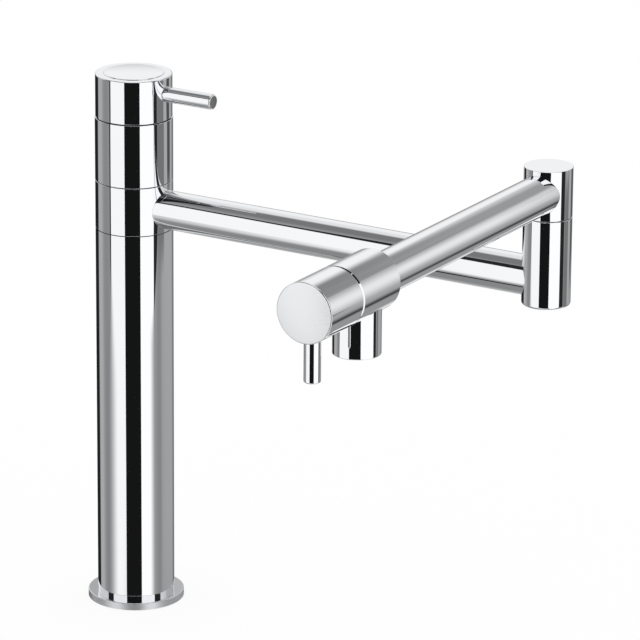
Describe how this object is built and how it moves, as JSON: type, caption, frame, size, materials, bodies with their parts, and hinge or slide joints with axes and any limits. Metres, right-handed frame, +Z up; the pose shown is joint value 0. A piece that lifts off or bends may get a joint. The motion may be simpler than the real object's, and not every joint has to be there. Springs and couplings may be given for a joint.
{
  "type": "swing-arm kitchen tap",
  "caption": "Tall round worktop tap with a double-jointed swing arm, a lever pin on top, and a spout head with its own turning knob, all polished chrome.",
  "frame": {"origin": "centre of the foot plate's underside, on the worktop under the column's axis", "axes": "+Z up along the column, +X along the lower arm at rest, -Y along the upper arm at rest"},
  "size_m": [0.3355, 0.3072, 0.453],
  "materials": {
    "chrome": "polished",
    "brass": "turned",
    "steel": "plain",
    "rubber": "matt",
    "slide_plastic": "matt acetal",
    "aerator_plastic": "matt",
    "ceramic": "lapped ceramic"
  },
  "bodies": {
    "column": {"base_flange": "chrome", "deck_gasket": "rubber", "column_tube": "chrome", "foot_plug": "brass", "mounting_shank": "brass", "deck_washer": "rubber", "clamp_washer": "steel", "mounting_nut": "brass", "inlet_tail": "brass", "inlet_riser": "brass", "riser_seal": "rubber", "column_plug": "brass", "valve_body": "brass", "spigot_seals": "rubber", "upper_sleeve": "chrome", "handle_slide_ring": "slide_plastic", "main_valve_body": "brass", "main_valve_seal": "rubber", "main_bottom_seal": "rubber", "main_fixed_disc": "ceramic"},
    "main_handle": {"handle_cap": "chrome", "handle_cover": "chrome", "handle_screw": "steel", "lever_pin": "chrome", "main_stem": "brass", "main_stem_seal": "rubber", "main_moving_disc": "ceramic"},
    "lower_arm": {"swivel_collar": "chrome", "collar_slide_rings": "slide_plastic", "lower_arm_tube": "chrome", "elbow_lower_barrel": "chrome", "elbow_slide_ring": "slide_plastic"},
    "upper_arm": {"elbow_upper_barrel": "chrome", "elbow_spigot": "brass", "elbow_seals": "rubber", "elbow_snap_ring": "steel", "upper_arm_tube": "chrome", "outlet_body": "chrome", "spout_nozzle": "chrome", "aerator_housing": "chrome", "aerator_insert": "aerator_plastic", "aerator_washer": "rubber", "outlet_valve_body": "brass", "outlet_valve_seal": "rubber", "outlet_bottom_seal": "rubber", "outlet_fixed_disc": "ceramic"},
    "outlet_knob": {"knob_cap": "chrome", "knob_pin": "chrome", "outlet_stem": "brass", "outlet_stem_seal": "rubber", "outlet_moving_disc": "ceramic"}
  },
  "joints": [
    {"name": "main_handle_turn", "type": "hinge", "parent": "column", "child": "main_handle", "pos_m": [0, 0, 0.3266], "axis": [0, 0, 1], "range_deg": [0, 90]},
    {"name": "arm_swivel", "type": "hinge", "parent": "column", "child": "lower_arm", "pos_m": [0, 0, 0.2575], "axis": [0, 0, 1], "continuous": true},
    {"name": "elbow_swivel", "type": "hinge", "parent": "lower_arm", "child": "upper_arm", "pos_m": [0.288, 0, 0.295], "axis": [0, 0, 1], "range_deg": [-75, 255]},
    {"name": "outlet_knob_turn", "type": "hinge", "parent": "upper_arm", "child": "outlet_knob", "pos_m": [0.288, -0.26, 0.3103], "axis": [0, -1, 0], "range_deg": [0, 90]}
  ]
}
